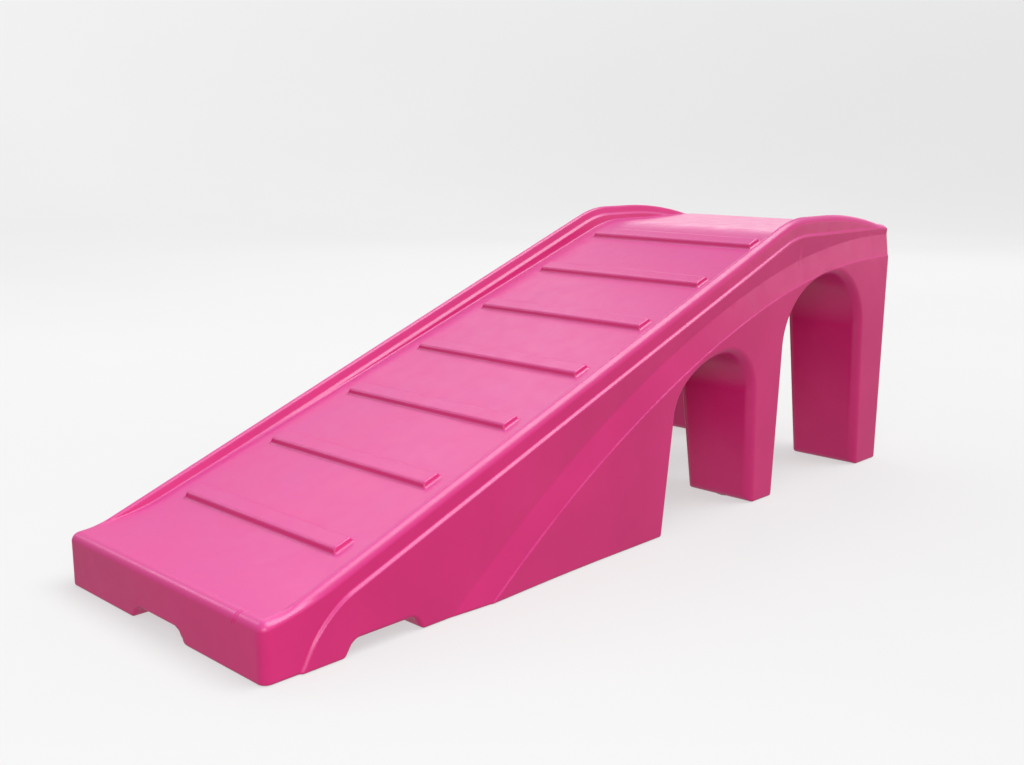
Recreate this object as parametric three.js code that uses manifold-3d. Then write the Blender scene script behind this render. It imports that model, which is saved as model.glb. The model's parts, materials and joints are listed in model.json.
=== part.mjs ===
// A free-standing dog ramp: one hollow, rotationally moulded polyethylene body that climbs from a low front
// block over seven cleats to a flat platform on four legs, with rubber feet screwed into moulded-in inserts.
// Millimetres, +Z up. The origin is on the floor under the middle of the ramp, and -X is the low end.
import * as THREE from "three";
import { mergeVertices } from "three/addons/utils/BufferGeometryUtils.js";
import Module from "manifold-3d";

const wasm = await Module();
wasm.setup();

// Driving dimensions. In the side view x runs from the low end and z up from the floor.
const LENGTH = 1372;
const WALL = 4; // thickness of the moulded skin
const FOOT_GAP = 0.5; // the rubber feet hold the moulding this far off the floor
const CLEARANCE = 0.3; // gap between pieces that touch

const LIP = { top: 74, edgeRadius: 12 }; // flat strip at the low end
const DECK = { start: 51, slope: 0.3588, platform: 436, bend: 14 };
const RAIL = { start: 62, slope: 0.3806, platform: 462, fallFrom: 1150, fallRate: 6.5e-4 };
const HALF_WIDTH = { railFoot: 202, railInner: 209, railTop: 215.5, outer: 225, panel: 227.8 };
const LEDGE = { below: 27.5, height: 7.5 }; // the side panel steps out this far below the rail's crest
const REAR_TAPER = { from: 850, rail: 2, panel: 4.5 }; // the sides draw in towards the high end
const PANEL = { frontFoot: 48, frontSlope: 1.78, draft: 0.022, lowerDraft: 0.041, legDraft: 0.01 };
const SWEEP = {
  end: 1320,
  power: 1.95,
  upperStart: 275,
  upperTop: 418,
  lowerStart: 345,
  lowerTop: 379,
  proud: 5,
};
const PLAN_RADIUS = { front: 18, rear: 10 };

const CLEAT = {
  count: 7,
  first: 143,
  pitch: 142.9,
  depth: 30,
  height: 8.2,
  backHeight: 6.2,
  halfLength: 168,
};

// The two arches across the ramp: feet at floor level, springing points and crown.
const ARCHES = [
  { left: 713.5, leftSpring: [727.5, 180], crown: [845, 261], rightSpring: [932, 185], right: 945.5 },
  { left: 1015.5, leftSpring: [1021.5, 250], crown: [1155, 360], rightSpring: [1268, 255], right: 1282 },
];
// The spaces between the near and the far leg of each pair.
const LEG_GAPS = [
  { from: 845, to: 1100, halfFoot: 96.5, halfSpring: 82.5, spring: 190, crown: 255 },
  { from: 1155, to: 1400, halfFoot: 94, halfSpring: 78.5, spring: 275, crown: 345 },
];
const SIDE_NOTCH = { from: 112, to: 229.5, inset: 12, top: 19 };
const FRONT_NOTCH = { halfFoot: 60, halfTop: 46, top: 17.2, to: 160 };

// Rubber feet, each sunk into a round pocket and held by one screw in a moulded-in insert.
const FOOT_PLACES = [
  { name: "front_foot", x: 57, y: 145 },
  { name: "base_foot", x: 660, y: 145 },
  { name: "middle_leg_foot", x: 980.5, y: 159 },
  { name: "rear_leg_foot", x: 1327, y: 159 },
];
const FOOT = { radius: 24, chamfer: 1, thickness: 6, boreRadius: 7, boreTop: 3, holeRadius: 3.4 };
const POCKET_DEPTH = FOOT.thickness + CLEARANCE - FOOT_GAP;
const SCREW = { headRadius: 6, headBottom: 0.8, headTop: 2.8, shankRadius: 3, tip: 20, socketRadius: 2 };
const INSERT = { radius: 6, waist: 5.2, bottom: 6.6, top: 24, bore: 3.3, boreTop: 22 };
const BOSS = { radius: 13, top: 30 };
const VENT = { x: 470, holeRadius: 10, recessRadius: 21, recessDepth: 4 };
const PLUG = { flangeRadius: 16, flangeHeight: 2, stemRadius: 9.7, barbRadius: 10.6, length: 19 };
const SEAL = { innerRadius: 10.2, outerRadius: 15, height: 1.2 };

const BODY_BOTTOM = FOOT_GAP;
const CAVITY_BOTTOM = FOOT_GAP + POCKET_DEPTH + WALL;

// Side-view lines of the body.
function softMin(a, b, reach) {
  const share = Math.max(reach - Math.abs(a - b), 0) / reach;
  return Math.min(a, b) - (share * share * reach) / 4;
}
function deckHeight(x) {
  const ramp = softMin(DECK.start + DECK.slope * x, DECK.platform, DECK.bend);
  const r = LIP.edgeRadius;
  const rounding = x < r ? r - Math.sqrt(r * r - (r - x) ** 2) : 0;
  return Math.max(LIP.top - rounding, ramp);
}
function railLine(x) {
  return softMin(RAIL.start + RAIL.slope * x, RAIL.platform, DECK.bend);
}
function crestHeight(x) {
  const fall = x > RAIL.fallFrom ? RAIL.fallRate * (x - RAIL.fallFrom) ** 2 : 0;
  return Math.max(railLine(x) - fall, deckHeight(x));
}
function panelTop(x) {
  const front = (x - PANEL.frontFoot) * PANEL.frontSlope;
  return Math.min(railLine(x) - LEDGE.below - LEDGE.height, front);
}
// How far the vertical corners at both ends pull the sides in at x.
function cornerInset(x) {
  const { front, rear } = PLAN_RADIUS;
  if (x < front) return front - Math.sqrt(front ** 2 - (front - x) ** 2);
  if (x > LENGTH - rear) return rear - Math.sqrt(rear ** 2 - (x - LENGTH + rear) ** 2);
  return 0;
}
// The swept lines that cross the side panel; between them the panel leans out by SWEEP.proud.
function sweepHeight(x, start, top) {
  const left = Math.max(SWEEP.end - x, 0) / (SWEEP.end - start);
  return top * (1 - left ** SWEEP.power);
}
const sweepUpper = (x) => sweepHeight(x, SWEEP.upperStart, SWEEP.upperTop);
const sweepLower = (x) => sweepHeight(x, SWEEP.lowerStart, SWEEP.lowerTop);
function railHalfWidth(x) {
  return HALF_WIDTH.outer - REAR_TAPER.rail * THREE.MathUtils.smoothstep(x, REAR_TAPER.from, LENGTH);
}
function panelHalfWidth(x, z) {
  const { clamp, lerp, smoothstep } = THREE.MathUtils;
  const [ledge, upper, lower] = [railLine(x) - LEDGE.below, sweepUpper(x), sweepLower(x)];
  const taper = REAR_TAPER.panel * smoothstep(x, REAR_TAPER.from, LENGTH);
  const lowerDraft = lerp(PANEL.lowerDraft, PANEL.legDraft, smoothstep(x, 650, 1330));
  const lean = PANEL.draft * (ledge - Math.max(z, upper)) + lowerDraft * Math.max(lower - z, 0);
  const band = SWEEP.proud * clamp((upper - z) / (upper - lower), 0, 1);
  return HALF_WIDTH.panel - taper - lean + band;
}

// Half of the body's cross-section at x, from the middle of the deck outwards and down to the floor side.
function outerHalfSection(x) {
  const outer = railHalfWidth(x);
  const deck = deckHeight(x);
  const crest = crestHeight(x);
  const step = Math.max(deck, crest - 16);
  const low = BODY_BOTTOM;
  const top = Math.max(panelTop(x), low);
  const upper = THREE.MathUtils.clamp(sweepUpper(x), low, top);
  const lower = THREE.MathUtils.clamp(sweepLower(x), low, top);
  const onPanel = (z) => [panelTop(x) > low ? panelHalfWidth(x, z) : outer, z];
  const section = [
    [HALF_WIDTH.railFoot, deck],
    [HALF_WIDTH.railFoot + 3, step],
    [HALF_WIDTH.railInner, Math.max(deck, crest - 4)],
    [HALF_WIDTH.railInner + 2.5, crest],
    [HALF_WIDTH.railTop, crest],
    [outer - 2.5, crest - 3.5],
    [outer, crest - 10],
    [outer, Math.max(panelTop(x) + LEDGE.height, low)],
    onPanel(top),
    onPanel(upper),
    onPanel(lower),
    onPanel(low),
  ];
  return section.map(([y, z]) => [y - cornerInset(x), z]);
}
function cavityHalfSection(x) {
  const outer = railHalfWidth(x);
  const ceiling = deckHeight(x) - WALL;
  const low = CAVITY_BOTTOM;
  const inRange = (z) => THREE.MathUtils.clamp(z, low, ceiling);
  const onPanel = (z) => [(panelTop(x) > z ? panelHalfWidth(x, z) : outer) - WALL, z];
  const section = [
    [outer - WALL, ceiling],
    [outer - WALL, inRange(panelTop(x))],
    onPanel(inRange(panelTop(x) - LEDGE.height)),
    onPanel(inRange(sweepUpper(x) - LEDGE.height)),
    onPanel(inRange(sweepLower(x) - LEDGE.height)),
    onPanel(low),
  ];
  return section.map(([y, z]) => [y - cornerInset(x), z]);
}

// manifold-3d joins and cuts; three.js makes every shape.
function solid(geometry) {
  const bare = geometry.index ? geometry.toNonIndexed() : geometry.clone();
  bare.deleteAttribute("normal");
  bare.deleteAttribute("uv");
  const merged = mergeVertices(bare, 1e-3);
  const corners = merged.index.array;
  const kept = [];
  for (let i = 0; i < corners.length; i += 3) {
    const [a, b, c] = corners.slice(i, i + 3);
    if (a !== b && b !== c && c !== a) kept.push(a, b, c);
  }
  const vertProperties = merged.attributes.position.array;
  return new wasm.Manifold(
    new wasm.Mesh({ numProp: 3, vertProperties, triVerts: new Uint32Array(kept) }),
  );
}
function geometryOf(body) {
  const mesh = body.getMesh();
  const geometry = new THREE.BufferGeometry();
  geometry.setAttribute("position", new THREE.BufferAttribute(mesh.vertProperties, 3));
  geometry.setIndex(new THREE.BufferAttribute(mesh.triVerts, 1));
  geometry.computeVertexNormals();
  return geometry;
}
const join = (bodies) => bodies.reduce((all, body) => all.add(body));

// A solid through cross-sections, each a closed ring of [y, z] points mirrored about y = 0.
function loft(stations, halfSection) {
  const positions = [];
  const rings = stations.map((x) => {
    const half = halfSection(x);
    const mirrored = half.map(([y, z]) => [-y, z]).reverse();
    return [...half, ...mirrored].map(([y, z]) => [x, y, z]);
  });
  const triangle = (a, b, c) => positions.push(...a, ...b, ...c);
  const count = rings[0].length;
  for (let i = 0; i + 1 < rings.length; i += 1) {
    for (let j = 0; j < count; j += 1) {
      const [a, b] = [rings[i][j], rings[i][(j + 1) % count]];
      const [c, d] = [rings[i + 1][(j + 1) % count], rings[i + 1][j]];
      triangle(a, c, b);
      triangle(a, d, c);
    }
  }
  // Each end is closed by strips that run from one side of the section to the other.
  const [first, last] = [rings[0], rings.at(-1)];
  for (let j = 0; 2 * j + 2 < count; j += 1) {
    const [p, q, r, t] = [j, j + 1, count - 2 - j, count - 1 - j];
    triangle(first[p], first[q], first[r]);
    triangle(first[p], first[r], first[t]);
    triangle(last[p], last[r], last[q]);
    triangle(last[p], last[t], last[r]);
  }
  const geometry = new THREE.BufferGeometry();
  geometry.setAttribute("position", new THREE.Float32BufferAttribute(positions, 3));
  return solid(geometry);
}

// Straight prisms: across the ramp (shape drawn in x, z) and along it (shape drawn in y, z), and rods.
function prismAcross(shape, halfWidth, curveSegments = 8) {
  const options = { depth: 2 * halfWidth, bevelEnabled: false, curveSegments };
  return solid(new THREE.ExtrudeGeometry(shape, options).rotateX(Math.PI / 2).translate(0, halfWidth, 0));
}
function prismAlong(shape, from, to, curveSegments = 8) {
  const options = { depth: to - from, bevelEnabled: false, curveSegments };
  const axes = new THREE.Matrix4().makeBasis(
    new THREE.Vector3(0, 1, 0),
    new THREE.Vector3(0, 0, 1),
    new THREE.Vector3(1, 0, 0),
  );
  return solid(new THREE.ExtrudeGeometry(shape, options).applyMatrix4(axes).translate(from, 0, 0));
}
function rod(radius, from, to, x, y, segments = 16) {
  const cylinder = new THREE.CylinderGeometry(radius, radius, to - from, segments);
  return solid(cylinder.rotateX(Math.PI / 2).translate(x, y, (from + to) / 2));
}
function polygon(points) {
  return new THREE.Shape(points.map(([a, b]) => new THREE.Vector2(a, b)));
}

// Openings below the deck; grow widens each one by the wall for cutting the inner skin.
const BELOW_FLOOR = -20;
function archSolid({ left, leftSpring, crown, rightSpring, right }, grow) {
  const shape = new THREE.Shape();
  shape.moveTo(left - grow, BELOW_FLOOR);
  shape.lineTo(right + grow, BELOW_FLOOR);
  shape.lineTo(rightSpring[0] + grow, rightSpring[1]);
  const [top, middle] = [crown[1] + grow, crown[0]];
  const rightReach = rightSpring[0] + grow - middle;
  const leftReach = middle - (leftSpring[0] - grow);
  shape.absellipse(middle, rightSpring[1], rightReach, top - rightSpring[1], 0, Math.PI / 2);
  shape.absellipse(middle, leftSpring[1], leftReach, top - leftSpring[1], Math.PI / 2, Math.PI);
  return prismAcross(shape, HALF_WIDTH.panel + 20, 7);
}
function legGapSolid({ from, to, halfFoot, halfSpring, spring, crown }, grow) {
  const shape = new THREE.Shape();
  shape.moveTo(-halfFoot - grow, BELOW_FLOOR);
  shape.lineTo(halfFoot + grow, BELOW_FLOOR);
  shape.absellipse(0, spring, halfSpring + grow, crown + grow - spring, 0, Math.PI);
  return prismAlong(shape, from, to, 7);
}
function sideNotchSolid(grow) {
  const { from, to, inset, top } = SIDE_NOTCH;
  const outline = polygon([
    [from - grow - inset, BELOW_FLOOR],
    [to + grow + inset, BELOW_FLOOR],
    [to + grow - inset, FOOT_GAP + top + grow],
    [from - grow + inset, FOOT_GAP + top + grow],
  ]);
  return prismAcross(outline, HALF_WIDTH.panel + 20);
}
function frontNotchSolid(grow) {
  const { halfFoot, halfTop, top, to } = FRONT_NOTCH;
  const spread = halfFoot - halfTop;
  const outline = polygon([
    [-halfFoot - spread - grow, -top],
    [halfFoot + spread + grow, -top],
    [halfTop + grow, FOOT_GAP + top + grow],
    [-halfTop - grow, FOOT_GAP + top + grow],
  ]);
  return prismAlong(outline, -20, to);
}
function openings(grow) {
  return join([
    ...ARCHES.map((arch) => archSolid(arch, grow)),
    ...LEG_GAPS.map((gap) => legGapSolid(gap, grow)),
    sideNotchSolid(grow),
    frontNotchSolid(grow),
  ]);
}

function cleatSolid(index) {
  const x = CLEAT.first + index * CLEAT.pitch;
  const front = DECK.start + DECK.slope * x;
  const back = front + DECK.slope * CLEAT.depth;
  const root = 2; // the cleat grows out of the skin
  const bar = polygon([
    [x, front - root],
    [x + CLEAT.depth, back - root],
    [x + CLEAT.depth, back],
    [x + CLEAT.depth - 1.5, back + CLEAT.backHeight],
    [x + 0.5, front + CLEAT.height],
  ]);
  return prismAcross(bar, CLEAT.halfLength);
}

const feet = FOOT_PLACES.flatMap(({ name, x, y }) => [
  { name: `right_${name}`, x, y: -y },
  { name: `left_${name}`, x, y },
]);

function spread(from, to, step) {
  const count = Math.round((to - from) / step);
  return Array.from({ length: count + 1 }, (_, i) => from + ((to - from) * i) / count);
}
function quarterTurn(from, radius, direction) {
  return [0, 20, 45, 70, 90].map((angle) => {
    const along = radius * (1 - Math.cos(THREE.MathUtils.degToRad(angle)));
    return from + direction * along;
  });
}
function bodyShell() {
  const slope = [...spread(180, 960, 78), ...spread(1020, 1125, 17.5)];
  const outerStations = [
    ...quarterTurn(0, PLAN_RADIUS.front, 1),
    32,
    PANEL.frontFoot + 1,
    ...[64, 80, 84],
    ...slope,
    ...spread(1160, 1345, 26.5),
    ...quarterTurn(LENGTH, PLAN_RADIUS.rear, -1).reverse(),
  ];
  const cavityStations = [WALL, 24, PANEL.frontFoot + 6, 68, 84, ...slope, 1200, 1280, LENGTH - WALL];

  const cleats = Array.from({ length: CLEAT.count }, (_, index) => cleatSolid(index));
  const outer = join([loft(outerStations, outerHalfSection), ...cleats]).subtract(openings(0));
  const bosses = feet.map(({ x, y }) => rod(BOSS.radius, 2, BOSS.top, x, y));
  const ventBoss = rod(VENT.recessRadius + WALL, 2, CAVITY_BOTTOM + VENT.recessDepth, VENT.x, 0, 24);
  const cavity = loft(cavityStations, cavityHalfSection)
    .subtract(openings(WALL))
    .subtract(join([...bosses, ventBoss]));
  const pocketTop = FOOT_GAP + POCKET_DEPTH;
  const pockets = feet.map(({ x, y }) => rod(FOOT.radius + CLEARANCE, 0, pocketTop, x, y, 24));
  const insertHoles = feet.map(({ x, y }) =>
    rod(INSERT.radius + CLEARANCE, 0, INSERT.top + CLEARANCE, x, y),
  );
  const ventHole = rod(VENT.holeRadius, 0, 40, VENT.x, 0, 24);
  const ventRecess = rod(VENT.recessRadius, 0, FOOT_GAP + VENT.recessDepth, VENT.x, 0, 24);
  return outer.subtract(cavity).subtract(join([...pockets, ...insertHoles, ventHole, ventRecess]));
}

// Pieces that are round about a vertical axis, drawn as [radius, height] from the bottom up.
function turned(profile, segments = 16) {
  const points = profile.map(([radius, height]) => new THREE.Vector2(radius, height));
  return solid(new THREE.LatheGeometry(points, segments).rotateX(Math.PI / 2));
}
function rubberFoot() {
  const { radius, chamfer, thickness, boreRadius, boreTop, holeRadius } = FOOT;
  const profile = [
    [boreRadius, 0],
    [radius - chamfer, 0],
    [radius, chamfer],
    [radius, thickness],
    [holeRadius, thickness],
    [holeRadius, boreTop],
    [boreRadius, boreTop],
    [boreRadius, 0],
  ];
  return geometryOf(turned(profile, 24));
}
function footScrew() {
  const { headRadius, headBottom, headTop, shankRadius, tip, socketRadius } = SCREW;
  const body = turned([
    [0, headBottom],
    [headRadius - 0.6, headBottom],
    [headRadius, headBottom + 0.6],
    [headRadius, headTop],
    [shankRadius, headTop],
    [shankRadius, tip - 1],
    [shankRadius - 1, tip],
    [0, tip],
  ]);
  const socket = rod(socketRadius, 0, headTop - 0.8, 0, 0, 6);
  return geometryOf(body.subtract(socket));
}
function threadedInsert() {
  const { radius, waist, bottom, top, bore, boreTop } = INSERT;
  return geometryOf(
    turned([
      [bore, bottom],
      [radius, bottom],
      [radius, bottom + 4],
      [waist, bottom + 5],
      [waist, bottom + 9],
      [radius, bottom + 10],
      [radius, top],
      [0, top],
      [0, boreTop],
      [bore, boreTop],
      [bore, bottom],
    ]),
  );
}
function ventPlug() {
  const { flangeRadius, flangeHeight, stemRadius, barbRadius, length } = PLUG;
  const bottom = FOOT_GAP;
  return geometryOf(
    turned(
      [
        [0, bottom],
        [flangeRadius, bottom],
        [flangeRadius, bottom + flangeHeight],
        [stemRadius, bottom + flangeHeight],
        [stemRadius, bottom + length - 4.5],
        [barbRadius, bottom + length - 4],
        [stemRadius - 1.5, bottom + length],
        [0, bottom + length],
      ],
      24,
    ),
  );
}
function ventSeal() {
  const bottom = FOOT_GAP + PLUG.flangeHeight + CLEARANCE;
  const { innerRadius, outerRadius, height } = SEAL;
  return geometryOf(
    turned(
      [
        [innerRadius, bottom],
        [outerRadius, bottom],
        [outerRadius, bottom + height],
        [innerRadius, bottom + height],
        [innerRadius, bottom],
      ],
      24,
    ),
  );
}

const pinkPolyethylene = new THREE.MeshStandardMaterial({ color: 0xe0468c, roughness: 0.42, metalness: 0 });
const plugPolyethylene = new THREE.MeshStandardMaterial({ color: 0xc93a7a, roughness: 0.5, metalness: 0 });
const blackRubber = new THREE.MeshStandardMaterial({ color: 0x1d1d1f, roughness: 0.85, metalness: 0 });
const stainlessSteel = new THREE.MeshStandardMaterial({ color: 0xb9bcc0, roughness: 0.35, metalness: 1 });
const brass = new THREE.MeshStandardMaterial({ color: 0xc9a255, roughness: 0.4, metalness: 1 });

const ramp = new THREE.Group();
ramp.name = "dog_ramp";
const assembly = new THREE.Group();
assembly.position.x = -LENGTH / 2;
ramp.add(assembly);
function place(name, geometry, material, x = 0, y = 0, z = 0) {
  const mesh = new THREE.Mesh(geometry, material);
  mesh.name = name;
  mesh.position.set(x, y, z);
  assembly.add(mesh);
}

place("body_shell", geometryOf(bodyShell()), pinkPolyethylene);
place("vent_plug", ventPlug(), plugPolyethylene, VENT.x, 0);
place("vent_seal", ventSeal(), blackRubber, VENT.x, 0);
for (const { name, x, y } of feet) {
  place(name, rubberFoot(), blackRubber, x, y);
  place(`${name}_screw`, footScrew(), stainlessSteel, x, y);
  place(`${name}_insert`, threadedInsert(), brass, x, y);
}

export default ramp;
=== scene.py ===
"""The look of the moulded dog ramp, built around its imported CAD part."""

import json
import math

import bpy
import numpy as np
from mathutils import Matrix, Vector


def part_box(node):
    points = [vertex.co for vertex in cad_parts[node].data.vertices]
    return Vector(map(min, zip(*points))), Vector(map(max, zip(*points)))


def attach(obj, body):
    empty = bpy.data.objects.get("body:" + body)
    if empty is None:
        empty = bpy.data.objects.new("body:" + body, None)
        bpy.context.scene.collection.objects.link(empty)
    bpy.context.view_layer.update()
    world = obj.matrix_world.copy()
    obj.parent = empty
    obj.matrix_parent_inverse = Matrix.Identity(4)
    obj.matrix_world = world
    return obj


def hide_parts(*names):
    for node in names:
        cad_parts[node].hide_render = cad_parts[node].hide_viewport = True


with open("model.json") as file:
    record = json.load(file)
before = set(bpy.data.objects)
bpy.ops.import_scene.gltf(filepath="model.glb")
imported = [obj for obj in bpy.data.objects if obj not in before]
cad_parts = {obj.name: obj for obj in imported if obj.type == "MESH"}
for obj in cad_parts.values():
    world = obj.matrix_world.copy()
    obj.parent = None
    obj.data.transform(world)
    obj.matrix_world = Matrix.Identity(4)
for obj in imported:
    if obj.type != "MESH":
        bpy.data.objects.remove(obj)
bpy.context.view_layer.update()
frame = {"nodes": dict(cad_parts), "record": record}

# The body is worked out in millimetres: x from the low end, y from the middle plane, z from the floor.
MM = 0.001
LOW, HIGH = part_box("body_shell")
LOW_END = LOW.x / MM
LENGTH = (HIGH.x - LOW.x) / MM
BOTTOM = LOW.z / MM

# Side-view lines: height at the low end, slope, and the level that they bend softly into.
DECK_START, DECK_SLOPE, PLATFORM = 51, 0.3588, 436
RAIL_START, RAIL_SLOPE, RAIL_PLATFORM = 62, 0.3806, 462
BEND = 14
# The rails sink again behind this point, with the square of the way past it.
RAIL_FALL_FROM, RAIL_FALL_RATE = 1150, 6.5e-4
LIP_TOP = 74
LIP_FILLET = 22

# The side: half widths of the rail and of the panel below it, how much they narrow towards the rear,
# and the ledge where the rail's face steps out to the panel.
RAIL_OUTER, PANEL_EDGE = 224, 228.3
RAIL_TAPER, PANEL_TAPER, TAPER_FROM = 2, 4.5, 850
LEDGE_BELOW, LEDGE_HEIGHT = 28, 5.5
# The panel's front edge: where it meets the floor, how steeply it stands and how it bends into the ledge.
# The tilt turns a length along x into a distance from that edge.
FOOT_FRONT, FOOT_SLOPE, FOOT_BEND = 46, 1.78, 30
FOOT_TILT = 0.87
# How much the side leans, for each part of it, and where the valley and the legs take over.
PANEL_DRAFT, VALLEY_DRAFT, LOWER_DRAFT, LEG_DRAFT = 0.02, 0.1, 0.041, 0.01
VALLEY_SPAN = (300, 600)
LEG_SPAN = (650, 1330)
# The swept band: each edge rises from its start on the floor to its top height at the band's end.
SWEEP_END, SWEEP_POWER = 1320, 1.95
SWEEP_UPPER = (275, 418)
SWEEP_LOWER = (345, 379)
SWEEP_PROUD, SWEEP_STEP, SWEEP_STEP_HEIGHT = 5, 1.1, 2.5

# Rails, inside the side faces: a low step along the deck, then the round crest.
# Times its factor, a length along x or y from a leaning face is about a distance from that face.
STEP_BELOW, STEP_EDGE, STEP_TILT = 14.5, 203.5, 0.12
STEP_TOP_EDGE, STEP_TOP_TILT, STEP_ROUND = 206, 0.35, 2.5
CREST_EDGE, CREST_TILT, CREST_FACTOR, CREST_ROUND = 210.5, 0.375, 0.936, 4.5
STEP_FILLET, CREST_FILLET = 2.5, 2.2

# Cleats: depth along the deck, height at the front and at the back, and half their length.
CLEAT_FIRST, CLEAT_PITCH, CLEAT_COUNT = 143, 142.9, 7
CLEAT_DEPTH, CLEAT_HEIGHT, CLEAT_BACK, CLEAT_HALF = 30, 8.2, 7.6, 168
CLEAT_FRONT_TILT, CLEAT_BACK_TILT, CLEAT_END_TILT = 0.12, 0.45, 0.35
# Each point of the deck goes with one cleat, and the border lies this share of a cleat past halfway.
CLEAT_SHARE = 0.4
# Times these, a height or a length over the sloping deck is about a distance.
DECK_UPRIGHT, DECK_ALONG = 0.95, 0.94
CLEAT_CORNER, CLEAT_EDGE, CLEAT_END_EDGE, CLEAT_FILLET = 1.6, 3, 2, 3

# Outer corners of the moulding.
FRONT_CORNER, REAR_CORNER, TOP_EDGE, BOTTOM_EDGE = 12, 15, 14, 2.8

# The small double wrinkle across the lip.
MARK_AT, MARK_HALF_GAP, MARK_WIDTH, MARK_DEPTH, MARK_LEAN = -172, 1.9, 1.1, 0.9, 0.2
MARK_HEIGHTS = (56, 63)
MARK_REACH = (8, 15)

# Round holes of the underside: the foot sockets and the vent recess.
FEET = ((57, 145), (660, 145), (980.5, 159), (1327, 159))
SOCKET_RADIUS, SOCKET_TOP, SOCKET_EDGE = 12, 6.5, 1
VENT = (470, 0)
VENT_RADIUS, VENT_TOP, VENT_EDGE = 21, 4.5, 1.2

# Arches: wall foot, spring point and crown of each side, in x and z.
ARCHES = [
    {"left": (713.5, 727.5, 180), "crown": (845, 261), "right": (945.5, 932, 185)},
    {"left": (1015.5, 1021.5, 250), "crown": (1155, 360), "right": (1282, 1268, 255)},
]
# The edge of an arch grows from sharp to soft across its crown.
ARCH_EDGE, ARCH_EDGE_GROWTH = 6, 10
ARCH_EDGE_SPAN = (-80, 60)
LEG_GAPS = [
    {"span": (845, 1100), "half": (96.5, 82.5, 190), "crown": 255},
    {"span": (1155, 1420), "half": (94, 78.5, 275), "crown": 345},
]
LEG_GAP_EDGE = 6

# Notches in the lower edge: one right across the body, and one through the front block.
NOTCH_FROM, NOTCH_FROM_LEAN, NOTCH_FROM_FACTOR = 112, 0.65, 0.84
NOTCH_TO, NOTCH_TO_LEAN, NOTCH_TO_FACTOR, NOTCH_TOP = 229.5, 0.6, 0.857, 19.5
CHANNEL_HALF, CHANNEL_LEAN, CHANNEL_FACTOR, CHANNEL_TO, CHANNEL_TOP = 60, 0.8, 0.78, 160, 17.7
NOTCH_CORNER, NOTCH_CEILING, NOTCH_EDGE, CHANNEL_EDGE = 1, 6, 5, 4

# How finely the body is meshed: the arches start past ARCHES_FROM and need closer lines.
ARCHES_FROM = 700
BODY_TRIANGLES = 186000


def soft_min(a, b, reach):
    share = np.maximum(reach - np.abs(a - b), 0) / reach
    return np.minimum(a, b) - share * share * reach / 4


def smooth_step(low, high, value):
    t = np.clip((value - low) / (high - low), 0, 1)
    return t * t * (3 - 2 * t)


def round_max(a, b, radius):
    """Overlap of two solids with its edge rounded."""
    corner = np.hypot(np.maximum(radius + a, 0), np.maximum(radius + b, 0))
    return np.minimum(-radius, np.maximum(a, b)) + corner


def round_min(a, b, radius):
    """Union of two solids with a fillet between them."""
    return -round_max(-a, -b, radius)


def deck_line(x):
    return soft_min(DECK_START + DECK_SLOPE * x, PLATFORM, BEND)


def rail_line(x):
    return soft_min(RAIL_START + RAIL_SLOPE * x, RAIL_PLATFORM, BEND)


def crest_line(x):
    return rail_line(x) - RAIL_FALL_RATE * np.maximum(x - RAIL_FALL_FROM, 0) ** 2


def tilt(line, x):
    """Turns a height above a line into a distance from it."""
    slope = (line(x + 1) - line(x - 1)) / 2
    return 1 / np.sqrt(1 + slope * slope)


def sweep_line(x, start, top):
    left = np.maximum(SWEEP_END - x, 0) / (SWEEP_END - start)
    return top * (1 - left**SWEEP_POWER)


def side_half_width(x, z):
    """Where the outer face of the side stands, with its ledge and its swept band."""
    ledge = rail_line(x) - LEDGE_BELOW
    below_ledge = (ledge - z) * tilt(rail_line, x)
    behind_foot = (x - FOOT_FRONT - z / FOOT_SLOPE) * FOOT_TILT
    panel = smooth_step(0, LEDGE_HEIGHT, -round_max(-below_ledge, -behind_foot, FOOT_BEND))
    upper, lower = sweep_line(x, *SWEEP_UPPER), sweep_line(x, *SWEEP_LOWER)
    share = np.clip((upper - z) / (upper - lower), 0, 1)
    lower_draft = LOWER_DRAFT + (LEG_DRAFT - LOWER_DRAFT) * smooth_step(*LEG_SPAN, x)
    upper_draft = PANEL_DRAFT + (VALLEY_DRAFT - PANEL_DRAFT) * smooth_step(*VALLEY_SPAN, x)
    face = PANEL_EDGE - upper_draft * (ledge - np.maximum(z, upper)) + SWEEP_PROUD * share
    face = face + SWEEP_STEP * smooth_step(-SWEEP_STEP_HEIGHT, 0, lower - z)
    face = face - lower_draft * np.maximum(lower - z, 0)
    taper = smooth_step(TAPER_FROM, LENGTH, x)
    rail = RAIL_OUTER - RAIL_TAPER * taper
    return rail + panel * (face - PANEL_TAPER * taper - rail)


def ellipse(u, v, a, b):
    """About the distance to an ellipse, negative inside it."""
    k1 = np.hypot(u / a, v / b)
    k2 = np.hypot(u / a**2, v / b**2)
    return k1 * (k1 - 1) / np.maximum(k2, 1e-6)


def vault_side(u, z, foot, spring, spring_z, crown_z):
    """One half of an arched opening: u runs outwards from the crown."""
    lean = (foot - spring) / spring_z
    wall = (u - spring - lean * (spring_z - z)) / math.hypot(1, lean)
    return np.where(z < spring_z, wall, ellipse(u, z - spring_z, spring, crown_z - spring_z))


def arch(x, z, left, crown, right):
    middle, top = crown
    left_side = vault_side(middle - x, z, middle - left[0], middle - left[1], left[2], top)
    right_side = vault_side(x - middle, z, right[0] - middle, right[1] - middle, right[2], top)
    return np.where(x < middle, left_side, right_side)


def leg_gap(x, y, z, span, half, crown):
    section = vault_side(y, z, half[0], half[1], half[2], crown)
    return np.maximum(section, np.maximum(span[0] - x, x - span[1]))


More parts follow.
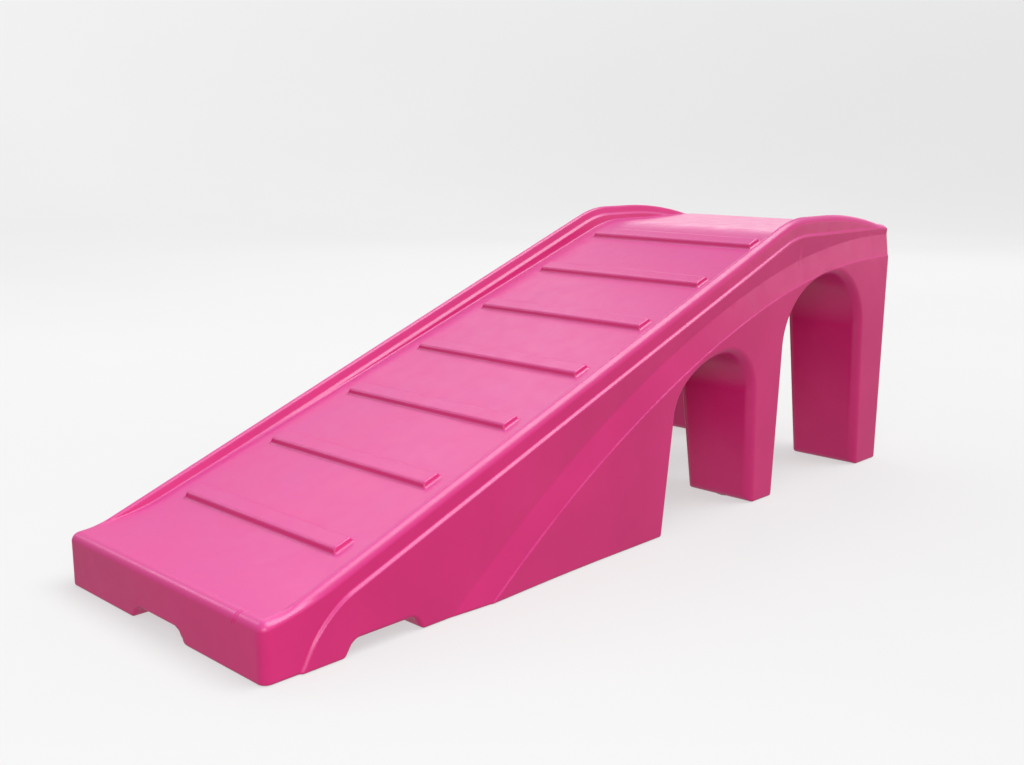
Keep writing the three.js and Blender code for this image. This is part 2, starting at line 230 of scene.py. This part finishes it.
def cleats(x, y, z):
    nearest = np.round((x - CLEAT_FIRST - CLEAT_SHARE * CLEAT_DEPTH) / CLEAT_PITCH)
    front = CLEAT_FIRST + np.clip(nearest, 0, CLEAT_COUNT - 1) * CLEAT_PITCH
    base = DECK_START + DECK_SLOPE * front
    height = z - base - DECK_SLOPE * (x - front)
    fall = (CLEAT_HEIGHT - CLEAT_BACK) / CLEAT_DEPTH
    top = (height - CLEAT_HEIGHT + fall * (x - front)) * DECK_UPRIGHT
    ahead = (front - x) + CLEAT_FRONT_TILT * (z - base)
    behind = (x - front - CLEAT_DEPTH) * DECK_ALONG + CLEAT_BACK_TILT * height
    bar = round_max(round_max(ahead, behind, CLEAT_CORNER), top, CLEAT_EDGE)
    return round_max(bar, y - CLEAT_HALF + CLEAT_END_TILT * height, CLEAT_END_EDGE)


def upper_surface(x, y, z):
    """Deck, lip, cleats and rails."""
    deck = (z - deck_line(x)) * tilt(deck_line, x)
    top = round_min(deck, z - LIP_TOP, LIP_FILLET)
    top = round_min(top, cleats(x, y, z), CLEAT_FILLET)
    crest = (z - crest_line(x)) * tilt(crest_line, x)
    step_top = crest + STEP_BELOW + STEP_TOP_TILT * (STEP_TOP_EDGE - y)
    step = round_max(step_top, STEP_EDGE - y + STEP_TILT * crest, STEP_ROUND)
    ridge_face = (CREST_EDGE - y + CREST_TILT * crest) * CREST_FACTOR
    ridge = round_max(crest, ridge_face, CREST_ROUND)
    return round_min(round_min(top, step, STEP_FILLET), ridge, CREST_FILLET)


def outer_corners(x, y, z):
    """The outline from above, with its upright corners rounded."""
    side = y - side_half_width(x, z)
    return round_max(round_max(side, -x, FRONT_CORNER), x - LENGTH, REAR_CORNER)


def notch(x, z):
    front = (NOTCH_FROM - x + NOTCH_FROM_LEAN * z) * NOTCH_FROM_FACTOR
    back = (x - NOTCH_TO + NOTCH_TO_LEAN * z) * NOTCH_TO_FACTOR
    return round_max(round_max(front, back, NOTCH_CORNER), z - NOTCH_TOP, NOTCH_CEILING)


def channel(x, y, z):
    side = (y - CHANNEL_HALF + CHANNEL_LEAN * z) * CHANNEL_FACTOR
    return round_max(round_max(side, x - CHANNEL_TO, NOTCH_CORNER), z - CHANNEL_TOP, NOTCH_CEILING)


def round_hole(x, y, z, centre, radius, top):
    return np.maximum(np.hypot(x - centre[0], y - centre[1]) - radius, z - top)


def lip_mark(x, y, z):
    """Depth of the small double wrinkle across the lip, near its right end."""
    across = y - MARK_AT + MARK_LEAN * (z - LIP_TOP)
    first = np.exp(-(((across - MARK_HALF_GAP) / MARK_WIDTH) ** 2))
    second = np.exp(-(((across + MARK_HALF_GAP) / MARK_WIDTH) ** 2))
    place = smooth_step(*MARK_HEIGHTS, z) * (1 - smooth_step(*MARK_REACH, x))
    return MARK_DEPTH * (first + second) * place


def body(x, y, z):
    """Signed distance to the ramp's outer surface, negative inside."""
    mark = lip_mark(x, y, z)
    y = np.abs(y)
    solid = round_max(upper_surface(x, y, z), outer_corners(x, y, z), TOP_EDGE)
    solid = round_max(solid, BOTTOM - z, BOTTOM_EDGE)
    for foot in FEET:
        socket = round_hole(x, y, z, foot, SOCKET_RADIUS, SOCKET_TOP)
        solid = round_max(solid, -socket, SOCKET_EDGE)
    solid = round_max(solid, -round_hole(x, y, z, VENT, VENT_RADIUS, VENT_TOP), VENT_EDGE)
    for gap in LEG_GAPS:
        solid = round_max(solid, -leg_gap(x, y, z, **gap), LEG_GAP_EDGE)
    for shape in ARCHES:
        growth = smooth_step(*ARCH_EDGE_SPAN, x - shape["crown"][0])
        solid = round_max(solid, -arch(x, z, **shape), ARCH_EDGE + ARCH_EDGE_GROWTH * growth)
    solid = round_max(solid, -notch(x, z), NOTCH_EDGE)
    return round_max(solid, -channel(x, y, z), CHANNEL_EDGE) + mark


def spaced(*stretches):
    """Grid lines from (from, to, spacing) stretches."""
    lines = [np.arange(a, b, step) for a, b, step in stretches]
    return np.concatenate(lines + [[stretches[-1][1]]])


def grid_lines():
    """Lines of the net in x, in y and in height above the deck line, close together where edges are."""
    x_lines = [(-6, 24, 2)]
    at = 24
    for i in range(CLEAT_COUNT):
        front = CLEAT_FIRST + i * CLEAT_PITCH
        between = 4 if front < ARCHES_FROM else 2.6
        x_lines += [(at, front - 4, between), (front - 4, front + 4, 1.2)]
        x_lines += [(front + 4, front + 24, 4), (front + 24, front + 32, 1.6)]
        at = front + 32
    x_lines += [(at, 1300, 2.6), (1300, LENGTH - 18, 4), (LENGTH - 18, LENGTH + 5, 2)]
    vent_and_middle = [(0, 28, 2.8), (28, 70, 7)]
    legs_and_cleat_ends = [(70, 112, 3), (112, 160, 6), (160, 166, 2), (166, 178, 1.2)]
    rails_and_side = [(178, 198, 4.5), (198, 238, 1.25)]
    half = spaced(*vent_and_middle, *legs_and_cleat_ends, *rails_and_side)
    y_lines = np.concatenate([-half[:0:-1], half])
    s_lines = spaced((-445, -200, 3), (-200, -42, 2), (-42, -20, 1.6), (-20, 40, 1.25))
    return spaced(*x_lines), y_lines, s_lines


def surface_net():
    """A closed quad mesh of the body, on a grid that leans with the deck."""
    xs, ys, ss = grid_lines()
    shape = (len(xs), len(ys), len(ss))
    field = np.empty(shape, np.float32)
    for i, x in enumerate(xs):
        z = ss[None, :] + deck_line(x)
        field[i] = body(np.full((1, 1), x), ys[:, None], z)
    inside = field < 0
    cell_shape = tuple(n - 1 for n in shape)
    lines = [xs, ys, ss]
    cell_ids, points, quads = [], [], []
    for axis in range(3):
        a = [slice(None)] * 3
        b = [slice(None)] * 3
        a[axis], b[axis] = slice(None, -1), slice(1, None)
        crossing = inside[tuple(a)] != inside[tuple(b)]
        index = np.array(np.nonzero(crossing)).T
        ahead = index.copy()
        ahead[:, axis] += 1
        f0, f1 = field[tuple(index.T)], field[tuple(ahead.T)]
        t = f0 / (f0 - f1)
        point = np.stack([lines[k][index[:, k]] for k in range(3)], 1)
        point[:, axis] += t * (lines[axis][ahead[:, axis]] - lines[axis][index[:, axis]])
        u, v = (axis + 1) % 3, (axis + 2) % 3
        corners = []
        for du, dv in ((-1, -1), (0, -1), (0, 0), (-1, 0)):
            cell = index.copy()
            cell[:, u] += du
            cell[:, v] += dv
            corners.append(np.ravel_multi_index(tuple(cell.T), cell_shape))
        corners = np.stack(corners, 1)
        flip = ~inside[tuple(index.T)]
        corners[flip] = corners[flip][:, ::-1]
        quads.append(corners)
        cell_ids.append(corners.ravel())
        points.append(np.repeat(point, 4, axis=0))
    cell_ids, points, quads = map(np.concatenate, (cell_ids, points, quads))
    used, inverse = np.unique(cell_ids, return_inverse=True)
    count = np.bincount(inverse)
    verts = np.stack([np.bincount(inverse, points[:, k]) / count for k in range(3)], 1)
    verts[:, 2] += deck_line(verts[:, 0])
    return verts, np.searchsorted(used, quads)


def gradient(points, reach=0.25):
    """Direction in which the distance grows, from samples a little way off on each side."""
    parts = []
    for axis in range(3):
        step = np.zeros(3)
        step[axis] = reach
        parts.append(body(*(points + step).T) - body(*(points - step).T))
    return np.stack(parts, 1) / (2 * reach)


def settle(points, rounds=3, longest=1.2, least_slope=0.05):
    """Moves points onto the surface, each round by no more than the longest move."""
    for _ in range(rounds):
        slope = gradient(points)
        steepness = np.maximum((slope**2).sum(1, keepdims=True), least_slope)
        move = body(*points.T)[:, None] * slope / steepness
        length = np.linalg.norm(move, axis=1, keepdims=True)
        points = points - move * np.minimum(1, longest / np.maximum(length, 1e-9))
    return points


def to_row(points):
    return (points + (LOW_END, 0, 0)) * MM


def from_row(points):
    return points / MM - (LOW_END, 0, 0)


def link_mesh(name, mesh):
    obj = bpy.data.objects.new(name, mesh)
    bpy.context.scene.collection.objects.link(obj)
    return obj


def quad_mesh(name, verts, quads):
    """A mesh from arrays of points and of four point numbers per face."""
    mesh = bpy.data.meshes.new(name)
    mesh.vertices.add(len(verts))
    mesh.vertices.foreach_set("co", verts.astype(np.float32).ravel())
    mesh.loops.add(quads.size)
    mesh.loops.foreach_set("vertex_index", quads.astype(np.int32).ravel())
    mesh.polygons.add(len(quads))
    mesh.polygons.foreach_set("loop_start", np.arange(0, quads.size, 4, dtype=np.int32))
    mesh.update(calc_edges=True)
    mesh.validate()
    return mesh


def moulded_body():
    """The moulding: meshed finely, thinned, moved back onto the surface and shaded by its gradient."""
    verts, quads = surface_net()
    verts = settle(verts)
    fine = link_mesh("ramp_body_fine", quad_mesh("ramp_body_fine", to_row(verts), quads))
    thin = fine.modifiers.new("thin", "DECIMATE")
    thin.ratio = min(1, BODY_TRIANGLES / (2 * len(quads)))
    graph = bpy.context.evaluated_depsgraph_get()
    mesh = bpy.data.meshes.new_from_object(fine.evaluated_get(graph))
    mesh.name = "ramp_body"
    bpy.data.objects.remove(fine)
    points = np.empty(len(mesh.vertices) * 3, np.float32)
    mesh.vertices.foreach_get("co", points)
    points = settle(from_row(points.reshape(-1, 3).astype(float)), 2)
    mesh.vertices.foreach_set("co", to_row(points).astype(np.float32).ravel())
    normals = gradient(points)
    normals /= np.linalg.norm(normals, axis=1, keepdims=True)
    mesh.update()
    mesh.polygons.foreach_set("use_smooth", np.ones(len(mesh.polygons), bool))
    mesh.normals_split_custom_set_from_vertices(normals.tolist())
    return link_mesh("ramp_body", mesh)


# ---------------------------------------------------------------- materials
class Nodes:
    """A short way to write a node material."""

    def __init__(self, name):
        self.material = bpy.data.materials.new(name)
        self.material.use_nodes = True
        self.tree = self.material.node_tree
        self.tree.nodes.clear()
        self.output = self.tree.nodes.new("ShaderNodeOutputMaterial")

    def add(self, kind, inputs=None, **settings):
        """A new node. An input is a plain value, or another node's output to link."""
        node = self.tree.nodes.new("ShaderNode" + kind)
        for key, value in settings.items():
            setattr(node, key, value)
        for key, value in (inputs or {}).items():
            if isinstance(value, bpy.types.NodeSocket):
                self.tree.links.new(value, node.inputs[key])
            else:
                node.inputs[key].default_value = value
        return node

    def noise(self, scale, detail=3, roughness=0.5):
        place = self.add("TexCoord").outputs["Object"]
        return self.add(
            "TexNoise",
            {"Vector": place, "Scale": scale, "Detail": detail, "Roughness": roughness},
        ).outputs["Fac"]

    def ramp(self, value, *stops):
        node = self.add("ValToRGB", {"Fac": value})
        for i, (at, colour) in enumerate(stops):
            element = node.color_ramp.elements[i] if i < 2 else node.color_ramp.elements.new(at)
            element.position = at
            element.color = (*colour, 1)
        return node.outputs["Color"]

    def mix(self, share, first, second):
        node = self.add("Mix", data_type="RGBA")
        self.tree.links.new(share, node.inputs[0])
        self.tree.links.new(first, node.inputs[6])
        node.inputs[7].default_value = (*second, 1)
        return node.outputs[2]

    def spread(self, value, low, high):
        """Maps 0..1 noise, which mostly lies in 0.3..0.7, to low..high."""
        return self.add(
            "MapRange",
            {"Value": value, "From Min": 0.3, "From Max": 0.7, "To Min": low, "To Max": high},
        ).outputs["Result"]

    def bump(self, height, strength, distance, normal=None):
        inputs = {"Height": height, "Strength": strength, "Distance": distance}
        if normal is not None:
            inputs["Normal"] = normal
        return self.add("Bump", inputs).outputs["Normal"]

    def finish(self, **inputs):
        names = {key.replace("_", " "): value for key, value in inputs.items()}
        shader = self.add("BsdfPrincipled", names)
        self.tree.links.new(shader.outputs["BSDF"], self.output.inputs["Surface"])
        return self.material


def polyethylene(name, dark, middle, light, painted_sheen_colour):
    """Rotationally moulded polyethylene: waxy satin, faint clouding and a fine orange peel.

    Faces that look up are mixed, in patches, towards a paler and bluer colour: a painted sheen for the
    light that they reflect.
    """
    n = Nodes(name)
    cloud = n.noise(5.5, 4, 0.55)
    colour = n.ramp(cloud, (0.3, dark), (0.7, light), (0.5, middle))
    # Painted sheen: the more a face looks up, the more its colour goes towards the paler, bluer sheen
    # colour.
    facing = n.add("SeparateXYZ", {"Vector": n.add("NewGeometry").outputs["Normal"]}).outputs["Z"]
    upward = n.add("MapRange", {"Value": facing, "From Min": 0.05, "From Max": 0.8}).outputs["Result"]
    patchy = n.spread(n.noise(9, 5, 0.6), 0.75, 1.0)
    painted_sheen_share = n.add("Math", {0: upward, 1: patchy}, operation="MULTIPLY").outputs["Value"]
    colour = n.mix(painted_sheen_share, colour, painted_sheen_colour)
    roughness = n.spread(n.noise(38, 3), 0.28, 0.37)
    peel = n.bump(n.noise(420, 2, 0.4), 0.1, 0.0004)
    waves = n.bump(n.noise(14, 2), 0.12, 0.0012, peel)
    return n.finish(
        Base_Color=colour,
        Roughness=roughness,
        Normal=waves,
        Specular_IOR_Level=0.5,
        IOR=1.5,
    )


def rubber():
    n = Nodes("black_rubber")
    colour = n.ramp(n.noise(60, 4), (0.3, (0.012, 0.012, 0.013)), (0.7, (0.03, 0.03, 0.031)))
    return n.finish(
        Base_Color=colour,
        Roughness=n.spread(n.noise(90), 0.7, 0.9),
        Normal=n.bump(n.noise(900, 3), 0.25, 0.0003),
    )


def metal(name, dark, light, low, high):
    n = Nodes(name)
    return n.finish(
        Base_Color=n.ramp(n.noise(150, 4), (0.3, dark), (0.7, light)),
        Roughness=n.spread(n.noise(400), low, high),
        Metallic=1.0,
        Normal=n.bump(n.noise(1500, 2), 0.08, 0.0001),
    )


# In each, the last colour is a painted sheen that faces looking up are mixed towards.
PINK = polyethylene(
    "pink_polyethylene",
    dark=(0.56, 0.011, 0.142),
    middle=(0.60, 0.013, 0.152),
    light=(0.64, 0.017, 0.168),
    painted_sheen_colour=(0.52, 0.045, 0.23),
)
PLUG_PINK = polyethylene(
    "plug_polyethylene",
    dark=(0.50, 0.03, 0.15),
    middle=(0.56, 0.035, 0.17),
    light=(0.62, 0.045, 0.2),
    painted_sheen_colour=(0.6, 0.05, 0.22),
)
RUBBER = rubber()
STEEL = metal("stainless_steel", (0.42, 0.43, 0.44), (0.62, 0.63, 0.64), 0.22, 0.38)
BRASS = metal("brass", (0.5, 0.33, 0.1), (0.68, 0.48, 0.18), 0.25, 0.45)
SLOT_LOOKS = {
    "pink_polyethylene": PINK,
    "plug_polyethylene": PLUG_PINK,
    "black_rubber": RUBBER,
    "stainless_steel": STEEL,
    "brass": BRASS,
}

slot_of = {part["node"]: part["material_slot"] for part in frame["record"]["subparts"]}
for name, node in frame["nodes"].items():
    node.data.materials.clear()
    node.data.materials.append(SLOT_LOOKS[slot_of[name]])

ramp = moulded_body()
ramp.data.materials.append(PINK)
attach(ramp, "root")
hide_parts("body_shell")


# ---------------------------------------------------------------- stage
def studio_paint():
    """Pale matt paper that glows a little, and more towards the top of the wall."""
    n = Nodes("studio_paint")
    grey = n.ramp(n.noise(0.8), (0.3, (0.195, 0.195, 0.195)), (0.7, (0.205, 0.205, 0.205)))
    height = n.add("SeparateXYZ", {"Vector": n.add("TexCoord").outputs["Object"]}).outputs["Z"]
    glow = n.add(
        "MapRange",
        {"Value": height, "From Min": 0.0, "From Max": 3.0, "To Min": 0.56, "To Max": 0.76},
    ).outputs["Result"]
    return n.finish(Base_Color=grey, Roughness=0.95, Emission_Color=(1, 1, 1, 1), Emission_Strength=glow)


def studio_bowl(flat, bend, wall, around=96, steps=16):
    """A floor disc that curves up into a wall all round."""
    outline = [(flat * k / 4, 0) for k in range(1, 5)]
    for k in range(1, steps + 1):
        angle = math.pi / 2 * k / steps
        outline.append((flat + bend * math.sin(angle), bend * (1 - math.cos(angle))))
    outline.append((flat + bend, bend + wall))
    verts = [(0, 0, 0)]
    for radius, height in outline:
        for k in range(around):
            angle = 2 * math.pi * k / around
            verts.append((radius * math.cos(angle), radius * math.sin(angle), height))
    faces = [(0, 1 + k, 1 + (k + 1) % around) for k in range(around)]
    for ring in range(len(outline) - 1):
        first, second = 1 + ring * around, 1 + (ring + 1) * around
        for k in range(around):
            after = (k + 1) % around
            faces.append((first + k, second + k, second + after, first + after))
    mesh = bpy.data.meshes.new("studio_bowl")
    mesh.from_pydata(verts, [], faces)
    mesh.polygons.foreach_set("use_smooth", [True] * len(faces))
    return mesh


bowl = link_mesh("studio_bowl", studio_bowl(flat=6, bend=3, wall=1.5))
bowl.data.materials.append(studio_paint())
bowl.visible_diffuse = bowl.visible_glossy = False


# ---------------------------------------------------------------- light
def soft_sky(low, high):
    """Even light from all round, a little weaker from below than from above."""
    world = bpy.data.worlds.new("studio")
    world.use_nodes = True
    nodes, links = world.node_tree.nodes, world.node_tree.links
    direction = nodes.new("ShaderNodeTexCoord").outputs["Generated"]
    split = nodes.new("ShaderNodeSeparateXYZ")
    strength = nodes.new("ShaderNodeMapRange")
    links.new(direction, split.inputs[0])
    links.new(split.outputs["Z"], strength.inputs["Value"])
    for key, value in {"From Min": -1, "From Max": 1, "To Min": low, "To Max": high}.items():
        strength.inputs[key].default_value = value
    background = nodes["Background"]
    background.inputs["Color"].default_value = (1, 1, 1, 1)
    links.new(strength.outputs["Result"], background.inputs["Strength"])
    bpy.context.scene.world = world


soft_sky(low=0.42, high=0.62)
bpy.context.scene.view_settings.view_transform = "Standard"


def soft_sun(name, towards, strength, spread):
    light = bpy.data.lights.new(name, "SUN")
    light.energy = strength
    light.angle = math.radians(spread)
    obj = bpy.data.objects.new(name, light)
    bpy.context.scene.collection.objects.link(obj)
    obj.rotation_euler = Vector(towards).to_track_quat("Z", "Y").to_euler()
    return obj


def softbox(name, place, aim, size, power):
    light = bpy.data.lights.new(name, "AREA")
    light.shape = "RECTANGLE"
    light.size, light.size_y = size
    light.energy = power
    obj = bpy.data.objects.new(name, light)
    bpy.context.scene.collection.objects.link(obj)
    obj.location = place
    obj.rotation_euler = (Vector(aim) - Vector(place)).to_track_quat("-Z", "Y").to_euler()
    return obj


soft_sun("key", towards=(0.35, -0.31, 0.88), strength=2.55, spread=42)
# Each box gives a place, the point that it looks at, its width and height, and its power.
# The back box whitens the platform, the top box the deck, and the lip box draws the line along the lip.
softbox("back_box", (4.1, 2.3, 1.6), (0.5, 0, 0.43), (4.0, 1.0), 20)
softbox("top_box", (0.45, 1.8, 2.9), (-0.2, 0, 0.2), (2.4, 2.6), 26)
softbox("lip_box", (-1.35, 2.1, 1.6), (-0.4, 0, 0.15), (0.5, 0.5), 5)
# The side box hazes the rear of the right side, and the front box lifts the low end.
softbox("side_box", (2.6, -1.7, 0.55), (0.4, -0.2, 0.35), (1.0, 0.8), 2.5)
softbox("front_box", (-1.5, -1.3, 0.8), (-0.4, -0.1, 0.15), (1.0, 0.8), 13)

# ---------------------------------------------------------------- camera
# Degrees and millimetres, in the same axes as the body.
YAW, PITCH, ROLL = map(math.radians, (44.2532, 11.5653, 0.1295))
FOCAL_LENGTH = 42.31
CAMERA_PLACE = (-682.897, -1265.825, 590.492)
forward = Vector(
    (math.cos(PITCH) * math.cos(YAW), math.cos(PITCH) * math.sin(YAW), -math.sin(PITCH))
)
right = forward.cross(Vector((0, 0, 1))).normalized()
up = right.cross(forward)
camera_right = right * math.cos(ROLL) + up * math.sin(ROLL)
camera_up = up * math.cos(ROLL) - right * math.sin(ROLL)
camera = bpy.data.objects.new("camera", bpy.data.cameras.new("camera"))
bpy.context.scene.collection.objects.link(camera)
camera.data.lens = FOCAL_LENGTH
camera.data.sensor_width = 36
camera.data.clip_end = 100
turn = Matrix((camera_right, camera_up, -forward)).transposed().to_4x4()
camera.matrix_world = Matrix.Translation(Vector(to_row(np.array(CAMERA_PLACE)))) @ turn
bpy.context.scene.camera = camera
